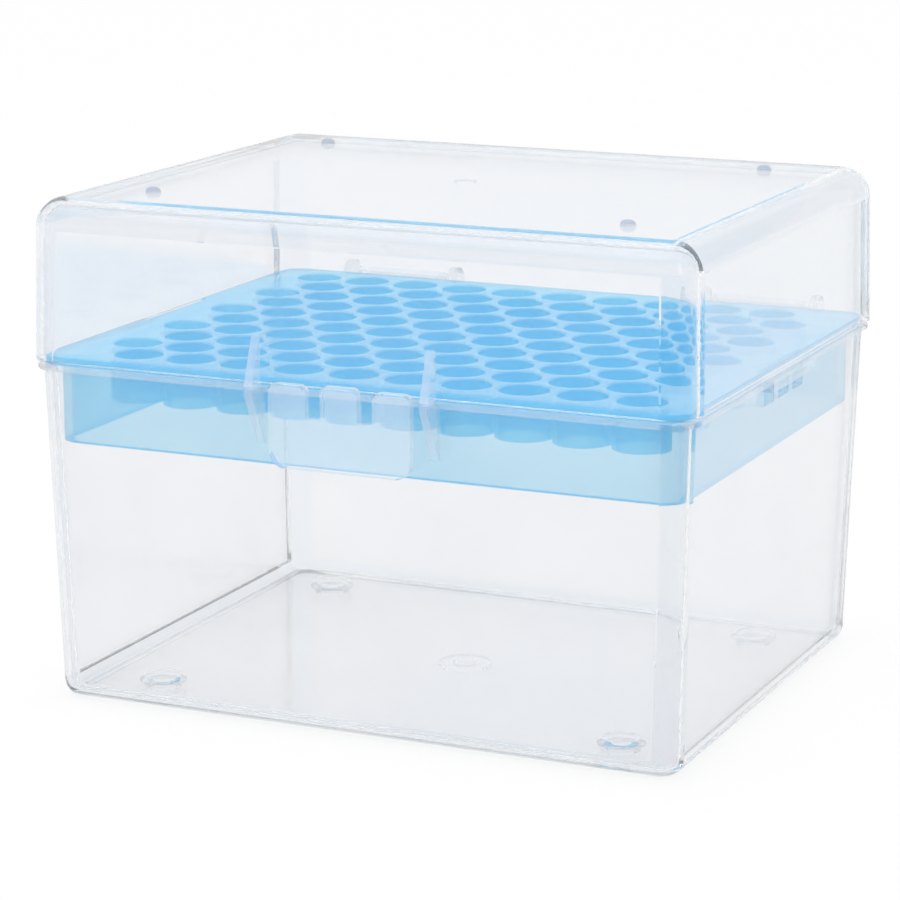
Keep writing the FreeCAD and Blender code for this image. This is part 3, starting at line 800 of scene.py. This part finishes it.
lid_corner = PLATE_CORNER + PLATE_GAP + LID_WALL
lid_shell = upright_box(
    "lid_shell", lid_length, lid_depth, lid_rim, lid_top, lid_corner, CORNER_STEPS
)
round_end(lid_top, LID_TOP_ROUND, ROUND_STEPS)
open_end(lid_rim)
give_wall(lid_shell, LID_WALL)
edit(lid_shell)
soften(lid_rim)
pick(lambda co: co.z > lid_rim + LEAN_START)
bpy.ops.transform.resize(
    value=(1 - 2 * LID_LEAN / lid_length, 1 - 2 * LID_LEAN / lid_depth, 1),
    center_override=(rack_middle.x, rack_middle.y, lid_top),
)
bpy.ops.object.mode_set(mode="OBJECT")


def in_lid_shell(co):
    """True within the lid's upright outer walls, above its edge."""
    return (
        abs(co.x - rack_middle.x) < lid_length / 2 + LID_SLACK
        and abs(co.y - rack_middle.y) < lid_depth / 2 + LID_SLACK
        and co.z > lid_rim - LID_SLACK
    )


lid_parts = small_parts("lid", in_lid_shell, "lid_parts")

# %% [markdown]
# Four small pips on the lid keep a second box from sliding when it is stacked on top, and the
# round mark in the middle is where the plastic entered the mould. Each is a drum fused to the lid
# or carved out of it. Bumps in the material would not show from the side.

# %% Pips and gate mark on the lid
STACK_X = 45.0 * MM
STACK_Y = 35.0 * MM
PIP_WIDTH = 2.8 * MM
GATE_WIDTH = 4.4 * MM
GATE_DEPTH = 0.5 * MM
LID_GATE_DEPTH = 0.2 * MM
PIP_ROOT = 0.5 * MM
PIP_FOOT = 0.01 * MM
DOME_ROUND = 0.95 * MM
CUT_PAST = 1 * MM
STACK_PLACES = [
    (rack_middle.x + side * STACK_X, rack_middle.y + end * STACK_Y)
    for side in (-1, 1)
    for end in (-1, 1)
]
for x, y in STACK_PLACES:
    pip = drum(x, y, PIP_WIDTH, lid_top - PIP_ROOT, LID_HIGH.z, DOME_ROUND)
    combine(pip, lid_shell, "UNION")
gate_low = lid_top - LID_GATE_DEPTH
gate = drum(rack_middle.x, rack_middle.y, GATE_WIDTH, gate_low, lid_top + CUT_PAST, 0)
combine(gate, lid_shell, "DIFFERENCE")
clear_lid = settle(lid_shell, [lid_parts], "clear_lid", "lid", "lid")
pip_low = lid_top + PIP_FOOT
# The pips' grey finish is painted shade.
pip_faces = refinish(clear_lid, pip_painted_shade, lambda face: face.center.z > pip_low)
print("faces of the pips:", pip_faces)

# %% [markdown]
# The tub is the same kind of shell the other way up. Its foot is smaller than its mouth, so that
# it leaves its mould. It could be lofted between two rectangles. Here the lower end of the
# upright box is drawn in first, and its bottom edges are rounded after that, so that the rounding
# is even all the way.

# %% The tub
BOTTOM_STEPS = 8

tub_shell = upright_box(
    "tub_shell", tub_length, tub_depth, 0, plate_under, TUB_CORNER, CORNER_STEPS
)
pick(lambda co: near(co.z, 0))
bpy.ops.transform.resize(
    value=(1 - 2 * tub_lean / tub_length, 1 - 2 * tub_lean / tub_depth, 1),
    center_override=(rack_middle.x, rack_middle.y, 0),
)
round_end(0, TUB_BOTTOM_ROUND, BOTTOM_STEPS)
open_end(plate_under)
give_wall(tub_shell, TUB_WALL)
tell(tub_shell)

# %% [markdown]
# Under the tub four cups take the pips of the box below, and a shallow ring surrounds the mark of
# the mould's gate. A cup is a dome inside the floor with a hollow carved from below, because the
# wall stays about as thick all over in a real moulding.

# %% Cups and gate recess under the tub
CUP_WIDTH = 6.6 * MM
CUP_DEPTH = 1.3 * MM
CUP_WALL = 1.0 * MM
CUP_MOUTH = 0.7 * MM
GATE_RECESS_WIDTH = 10.0 * MM
for x, y in STACK_PLACES:
    dome = drum(x, y, CUP_WIDTH + 2 * CUP_WALL, TUB_WALL / 2, CUP_DEPTH + CUP_WALL, DOME_ROUND)
    combine(dome, tub_shell, "UNION")
    combine(drum(x, y, CUP_WIDTH, -CUT_PAST, CUP_DEPTH, CUP_MOUTH), tub_shell, "DIFFERENCE")
recess = drum(rack_middle.x, rack_middle.y, GATE_RECESS_WIDTH, -CUT_PAST, GATE_DEPTH, 0)
core = drum(rack_middle.x, rack_middle.y, GATE_WIDTH, -2 * CUT_PAST, 2 * CUT_PAST, 0)
combine(core, recess, "DIFFERENCE")
combine(recess, tub_shell, "DIFFERENCE")
tell(tub_shell)

# %% [markdown]
# Three vents under the rim of each short side let air in when the box is sterilised. Each is a
# block carved through the wall. An opening painted on the wall would show no thickness at its
# edges.

# %% Vents through the short sides
VENT_WIDTH = 21.6 * MM
VENT_HEIGHT = 3.8 * MM
VENT_BAR = 2.2 * MM
VENT_CUT = 6 * MM
vent_middle = plate_under - RIM_HEIGHT - VENT_HEIGHT / 2
vent_step = (VENT_WIDTH - 2 * VENT_BAR) / 3
for side in (-1, 1):
    for place in (-1, 0, 1):
        clean_slate()
        bpy.ops.mesh.primitive_cube_add(
            size=1,
            location=(
                rack_middle.x + side * tub_length / 2,
                rack_middle.y + place * (vent_step + VENT_BAR),
                vent_middle,
            ),
        )
        bpy.ops.transform.resize(value=(VENT_CUT, vent_step, VENT_HEIGHT))
        bpy.ops.object.transform_apply(location=True, rotation=True, scale=True)
        combine(bpy.context.object, tub_shell, "DIFFERENCE")
tell(tub_shell)

# %% [markdown]
# A narrow rim stands out all round the tub's mouth. It stiffens the mouth and carries the rack's
# plate and the lid. Extruding the wall outwards would spoil its even corners, so the rim is a
# ring of its own: a rounded slab with a smaller one carved out of it.

# %% The rim that carries the plate and the lid
rim_length = lid_length - 2 * RIM_SETBACK
rim_depth = lid_depth - 2 * RIM_SETBACK
rim_corner = PLATE_CORNER + PLATE_GAP + LID_WALL - RIM_SETBACK
rim_low = plate_under - RIM_HEIGHT
rim = upright_box("rim", rim_length, rim_depth, rim_low, plate_under, rim_corner, CORNER_STEPS)
soften(plate_under)
soften(rim_low)
bpy.ops.object.mode_set(mode="OBJECT")
hollow = upright_box(
    "hollow",
    tub_length - TUB_WALL,
    tub_depth - TUB_WALL,
    plate_under - 2 * RIM_HEIGHT,
    plate_under + RIM_HEIGHT,
    TUB_CORNER - TUB_WALL / 2,
    CORNER_STEPS,
)
bpy.ops.object.mode_set(mode="OBJECT")
combine(hollow, rim, "DIFFERENCE")
tell(rim)

# %% [markdown]
# Now the shell, the rim and the small parts become one clear tub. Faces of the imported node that
# lie in the shell or in the rim are left out. Kept, they would lie in the same place as the new
# ones, and the renderer could not tell which is in front.


# %% Joining the tub
TUB_SLACK = 0.01 * MM


def in_tub_shell(co):
    """True inside the tub's leaning outer faces, and inside the rim."""
    lean = (plate_under - co.z) * math.tan(TUB_DRAFT)
    in_walls = (
        abs(co.x - rack_middle.x) < tub_length / 2 - lean + TUB_SLACK
        and abs(co.y - rack_middle.y) < tub_depth / 2 - lean + TUB_SLACK
        and co.z < plate_under + TUB_SLACK
    )
    in_rim = (
        abs(co.x - rack_middle.x) < rim_length / 2 + TUB_SLACK
        and abs(co.y - rack_middle.y) < rim_depth / 2 + TUB_SLACK
        and rim_low - TUB_SLACK < co.z < plate_under + TUB_SLACK
    )
    return in_walls or in_rim


tub_parts = small_parts("base_box", in_tub_shell, "tub_parts")
clear_tub = settle(tub_shell, [tub_parts, rim], "clear_tub", "base", "base_box")

# %% [markdown]
# Through a vent the eye meets the cut edges of the wall, which look milkier than the wall itself,
# as the edge of a glass sheet looks greener. Those faces are found by their place in the wall,
# and get the fins' finish.

# %% Cut edges of the vents
VENT_DEPTH = 3 * MM
VENT_SLACK = 0.1 * MM


def is_vent_edge(face):
    """True on the faces inside a vent that don't face outwards."""
    return (
        abs(face.center.x - rack_middle.x) > tub_length / 2 - VENT_DEPTH
        and abs(face.center.y - rack_middle.y) < VENT_WIDTH / 2 + VENT_SLACK
        and abs(face.center.z - vent_middle) < VENT_HEIGHT / 2 + VENT_SLACK / 2
        and abs(face.normal.x) < 0.5
    )


print("cut edges of the vents:", refinish(clear_tub, fin_plastic, is_vent_edge), "faces")

# %% [markdown]
# The rack is a plate of staggered holes, each with a collar hanging below it. A hundred holes
# could be carved from a slab, but their edges would stay sharp and the plate's faces uneven. In a
# staggered grid every hole owns one hexagon of plate. So one cell is turned on a lathe (spin)
# from its profile, its two open ends are drawn out to the hexagon, and its copies join edge to
# edge into the field.

# %% Profile of one hole
PITCH = 10.6 * MM
ROW_STEP = PITCH * math.sqrt(3) / 2
HOLES_IN_ROW = 10
ROWS = 10
BORE_RADIUS = 4.35 * MM
COLLAR_RADIUS = 5.09 * MM
COLLAR_DEPTH = 8.0 * MM
RIM_ROUND = 0.28 * MM
RIM_STEPS = 3
CELL_SIDES = 24
CELL_MARGIN = 0.04 * MM

collar_low = plate_top - COLLAR_DEPTH
first_x = rack_middle.x - PITCH * (HOLES_IN_ROW - 0.5) / 2 + PITCH / 2
first_y = rack_middle.y - ROW_STEP * (ROWS - 1) / 2


def cell_profile():
    """Radius and height from the plate's top, over the rim, down the bore and up the collar."""
    edge_radius = PITCH / 2 - CELL_MARGIN
    rounding = []
    for step in range(RIM_STEPS + 1):
        angle = math.radians(90 - 90 / RIM_STEPS * step)
        rounding.append(
            (
                BORE_RADIUS + RIM_ROUND * (1 - math.cos(angle)),
                plate_top - RIM_ROUND * (1 - math.sin(angle)),
            )
        )
    return (
        [(edge_radius, plate_top)]
        + rounding
        + [(BORE_RADIUS, collar_low), (COLLAR_RADIUS, collar_low)]
        + [(COLLAR_RADIUS, plate_under), (edge_radius, plate_under)]
    )


print("a hole's profile has", len(cell_profile()), "points")

# %% [markdown]
# The profile is spun about the hole's axis. Its two open ends are then circles, and moving each
# of their points straight out from the axis turns them into hexagons that meet the next ones.


# %% Turning one cell
def turn_cell(x, y):
    """One hole with its collar and its hexagon of plate, about the axis at x and y."""
    clean_slate()
    points = [(x + radius, y, height) for radius, height in cell_profile()]
    mesh = bpy.data.meshes.new("cell")
    mesh.from_pydata(points, [(i, i + 1) for i in range(len(points) - 1)], [])
    cell = bpy.data.objects.new("cell", mesh)
    bpy.context.scene.collection.objects.link(cell)
    edit(cell)
    bpy.ops.mesh.select_all(action="SELECT")
    bpy.ops.mesh.spin(steps=CELL_SIDES, angle=2 * math.pi, center=(x, y, 0), axis=(0, 0, 1))
    bpy.ops.mesh.select_all(action="SELECT")
    bpy.ops.mesh.remove_doubles(threshold=TOUCHING)
    draw_out_to_hexagon(x, y)
    bpy.ops.mesh.select_all(action="SELECT")
    bpy.ops.mesh.normals_make_consistent(inside=False)
    bpy.ops.object.mode_set(mode="OBJECT")
    return cell


def draw_out_to_hexagon(x, y):
    """Moves each point of the two open ends straight out to the hexagon that the hole owns."""
    side = PITCH / 2
    step = 360 // CELL_SIDES
    for height in (plate_top, plate_under):
        for turn in range(0, 30 + step, step):
            reach = side / math.cos(math.radians(turn))

            def on_this_ray(co):
                offset = Vector((co.x - x, co.y - y))
                from_flat = math.degrees(math.atan2(offset.y, offset.x)) % 60
                from_flat = min(from_flat, 60 - from_flat)
                return (
                    near(co.z, height)
                    and near(offset.length, side - CELL_MARGIN)
                    and abs(from_flat - turn) < 1
                )

            if not pick(on_this_ray):
                raise RuntimeError("no point of the cell lies on the ray at %d degrees" % turn)
            scale = reach / (side - CELL_MARGIN)
            bpy.ops.transform.resize(value=(scale, scale, 1), center_override=(x, y, height))


front_cell = turn_cell(first_x, first_y)
next_cell = turn_cell(first_x - PITCH / 2, first_y + ROW_STEP)
tell(front_cell)

# %% [markdown]
# The rows are offset by half a pitch in turn. Placing a hundred cells one by one would work, but
# the Array modifier repeats what is made once: two cells, one from each kind of row, are joined
# and repeated along the row and then from front to back.

# %% The field of cells
SEAM = 0.01 * MM

take(front_cell)
next_cell.select_set(True)
bpy.ops.object.join()
field = front_cell
apply_modifier(
    field,
    "ARRAY",
    count=HOLES_IN_ROW,
    use_relative_offset=False,
    use_constant_offset=True,
    constant_offset_displace=(PITCH, 0, 0),
)
apply_modifier(
    field,
    "ARRAY",
    count=ROWS // 2,
    use_relative_offset=False,
    use_constant_offset=True,
    constant_offset_displace=(0, 2 * ROW_STEP, 0),
)
edit(field)
bpy.ops.mesh.select_all(action="SELECT")
bpy.ops.mesh.remove_doubles(threshold=SEAM)
bpy.ops.object.mode_set(mode="OBJECT")
tell(field)

# %% [markdown]
# The plate's own outline is a rectangle with rounded corners and a shallow grip notch in each
# short side, where fingers lift the rack out. It is drawn once, given its thickness and bevelled.
# The ring between it and the field of cells is then filled, above and below, which leaves every
# hole as it was turned. A boolean would cut across the cells' faces.

# %% The plate round the field
PLATE_BEVEL = 0.3 * MM
NOTCH_HALF = 11.0 * MM
NOTCH_SLOPE = 0.5 * MM
NOTCH_DEPTH = 0.9 * MM
NOTCH_SLACK = 0.1 * MM
OUTLINE_STEPS = 8


def rounded_face(name, height, length, depth, corner):
    """A flat face with rounded corners about the rack's middle."""
    clean_slate()
    bpy.ops.mesh.primitive_plane_add(size=1, location=(rack_middle.x, rack_middle.y, height))
    slab = bpy.context.object
    bpy.ops.transform.resize(value=(length, depth, 1))
    bpy.ops.object.transform_apply(location=True, rotation=True, scale=True)
    edit(slab)
    bpy.ops.mesh.select_all(action="SELECT")
    bpy.ops.mesh.bevel(
        offset=corner, offset_type="OFFSET", segments=OUTLINE_STEPS, affect="VERTICES"
    )
    bpy.ops.object.mode_set(mode="OBJECT")
    slab.name = name
    return slab


plate_length = RACK_HIGH.x - RACK_LOW.x
plate_depth = RACK_HIGH.y - RACK_LOW.y
plate = rounded_face("plate", plate_top, plate_length, plate_depth, PLATE_CORNER)
edit(plate)
for line in (-NOTCH_HALF - NOTCH_SLOPE, -NOTCH_HALF, NOTCH_HALF, NOTCH_HALF + NOTCH_SLOPE):
    bpy.ops.mesh.select_all(action="SELECT")
    bpy.ops.mesh.bisect(plane_co=(0, rack_middle.y + line, plate_top), plane_no=(0, 1, 0))
for side in (-1, 1):
    edge_x = rack_middle.x + side * plate_length / 2
    pick(lambda co: near(co.x, edge_x) and abs(co.y - rack_middle.y) < NOTCH_HALF + NOTCH_SLACK)
    bpy.ops.transform.translate(value=(-side * NOTCH_DEPTH, 0, 0))
bpy.ops.mesh.select_mode(type="FACE")
bpy.ops.mesh.select_all(action="SELECT")
bpy.ops.mesh.dissolve_faces()
bpy.ops.mesh.select_all(action="SELECT")
bpy.ops.mesh.extrude_region_move(TRANSFORM_OT_translate={"value": (0, 0, -PLATE_THICKNESS)})
bpy.ops.mesh.select_all(action="SELECT")
bpy.ops.mesh.normals_make_consistent(inside=False)
pick(lambda co: near(co.z, plate_top), "EDGE")
bpy.ops.mesh.bevel(offset=PLATE_BEVEL, segments=2, affect="EDGES")
for height in (plate_top, plate_under):
    pick(lambda co: near(co.z, height), "FACE")
    bpy.ops.mesh.delete(type="ONLY_FACE")
bpy.ops.object.mode_set(mode="OBJECT")
tell(plate)

# %% [markdown]
# The outline and the field of cells are joined into one mesh. Picking the edges between them one
# by one would take long. They are the only ones with a single face, so they are found by that,
# and Fill closes the ring, first above and then below.

# %% Filling the ring between them
take(plate)
field.select_set(True)
bpy.ops.object.join()
edit(plate)
for height in (plate_top, plate_under):
    bpy.ops.mesh.select_mode(type="EDGE")
    bpy.ops.mesh.select_all(action="DESELECT")
    mesh = bmesh.from_edit_mesh(plate.data)
    for edge in mesh.edges:
        flat = near(edge.verts[0].co.z, height) and near(edge.verts[1].co.z, height)
        edge.select_set(flat and len(edge.link_faces) < 2)
    bmesh.update_edit_mesh(plate.data)
    bpy.ops.mesh.fill(use_beauty=True)
bpy.ops.object.mode_set(mode="OBJECT")
tell(plate)

# %% [markdown]
# Below the plate hangs the skirt, a thin wall that keeps the rack square in the tub. A slab with
# its middle carved out would do. It is shorter to inset a rounded rectangle, keep only the ring
# between the two outlines, and draw that down.

# %% The skirt
SKIRT_WALL = 1.5 * MM
SKIRT_CORNER = 5.0 * MM
SKIRT_ROOT = 0.5 * MM
SKIRT_TANGENT_GAP = 0.1 * MM
SKIRT_GAP = 0.7 * MM
SMOOTH_RACK = math.radians(35)

skirt_depth = ROW_STEP * (ROWS - 1) + 2 * (BORE_RADIUS + SKIRT_TANGENT_GAP + SKIRT_WALL)
skirt_top = plate_under + SKIRT_ROOT
skirt_length = tub_length - 2 * TUB_WALL - 2 * SKIRT_GAP
skirt = rounded_face("skirt", skirt_top, skirt_length, skirt_depth, SKIRT_CORNER)
edit(skirt, "FACE")
bpy.ops.mesh.select_all(action="SELECT")
bpy.ops.mesh.inset(thickness=SKIRT_WALL, depth=0)
bpy.ops.mesh.delete(type="FACE")
bpy.ops.mesh.select_all(action="SELECT")
bpy.ops.mesh.extrude_region_move(TRANSFORM_OT_translate={"value": (0, 0, RACK_LOW.z - skirt_top)})
bpy.ops.mesh.select_all(action="SELECT")
bpy.ops.mesh.normals_make_consistent(inside=False)
bpy.ops.object.mode_set(mode="OBJECT")

take(plate)
skirt.select_set(True)
bpy.ops.object.join()
edit(plate)
bpy.ops.mesh.select_all(action="SELECT")
bpy.ops.mesh.normals_make_consistent(inside=False)
rack = leave(plate, "blue_rack")
bpy.ops.object.shade_smooth_by_angle(angle=SMOOTH_RACK)
tell(rack)

# %% [markdown]
# The blue is deep where the eye looks along the plastic and not through it: on the plate's edge
# and on the skirt's lower end. The same deep blue is painted shade on the bores' walls and where
# two collars nearly touch. One even blue would make the rack look like painted paper. The faces are
# found by where they lie from the nearest hole.

# %% Where the blue is deep, also as painted shade
SIDE_STRIP = 0.97
UPRIGHT = 0.1
ON_WALL = 0.1 * MM


def from_hole(centre):
    """How far a point lies from the nearest hole's axis, to the right and to the back."""
    row = round((centre.y - first_y) / ROW_STEP)
    row_start = first_x - (row % 2) * PITCH / 2
    aside = (centre.x - row_start + PITCH / 2) % PITCH - PITCH / 2
    return Vector((aside, centre.y - first_y - row * ROW_STEP, 0))


def in_bore(centre, normal):
    """True on the wall of a bore, below its rounded rim."""
    if abs(normal.z) > UPRIGHT or not collar_low < centre.z < plate_top - RIM_ROUND:
        return False
    return abs(from_hole(centre).length - BORE_RADIUS) < ON_WALL


def on_collar(centre, normal):
    """True on the outside of a collar."""
    if abs(normal.z) > UPRIGHT or not collar_low < centre.z < plate_under:
        return False
    return abs(from_hole(centre).length - COLLAR_RADIUS) < ON_WALL


def faces_a_neighbour(centre, normal):
    """True on a collar's outside, facing the next collar in its row: painted shade goes there."""
    return abs(normal.x) >= SIDE_STRIP and on_collar(centre, normal)


def on_outline(centre):
    """True along the plate's four sides."""
    return (
        abs(centre.x - rack_middle.x) > plate_length / 2 - NOTCH_DEPTH - ON_WALL
        or abs(centre.y - rack_middle.y) > plate_depth / 2 - PLATE_CORNER / 3
    )


def is_edge_on_or_painted_shade(face):
    """True where the eye looks along the plastic, and on bores and collar gaps as painted shade."""
    centre, normal = face.center, face.normal
    plate_edge = abs(normal.z) < 0.5 and on_outline(centre) and centre.z > plate_under
    lower_end = normal.z < -0.9 and near(centre.z, RACK_LOW.z)
    return plate_edge or lower_end or in_bore(centre, normal) or faces_a_neighbour(centre, normal)


print("a face within", round(ON_WALL / MM, 1), "mm of a bore's radius counts as its wall")

# %% [markdown]
# Now the rack gets its three blues. Light passes freely through such thin clear walls, and a ray
# tracer finds that light slowly. So the rack and the lid let lamplight and sky light through. The
# tub keeps its soft shadow.

# %% Finish of the rack
rack.data.materials.clear()
for finish in (blue_plastic, edge_blue_and_painted_shade, collar_painted_shade):
    rack.data.materials.append(finish)
refinish(rack, blue_plastic, lambda face: True)
# The collars get the deeper blue of painted shade under the plate.
refinish(rack, collar_painted_shade, lambda face: on_collar(face.center, face.normal))
# Deep blue on edge-on faces, and as painted shade in the bores and between the collars.
print("edge-on faces:", refinish(rack, edge_blue_and_painted_shade, is_edge_on_or_painted_shade))
for piece in (rack, clear_lid):
    piece.visible_shadow = False
    piece.visible_diffuse = False
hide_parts("tip_rack")
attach(rack, "base")
tell(rack)

# %% [markdown]
# The looks must not change the size. So the imported model's box, kept since the start, is set
# against the box of all that is now seen, and what the looks add is printed.

# %% Comparing both sizes
visual_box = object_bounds()
growth = (visual_box[1] - visual_box[0]) - (cad_box[1] - cad_box[0])
print("the looks add, mm:", [round(part / MM, 2) for part in growth])
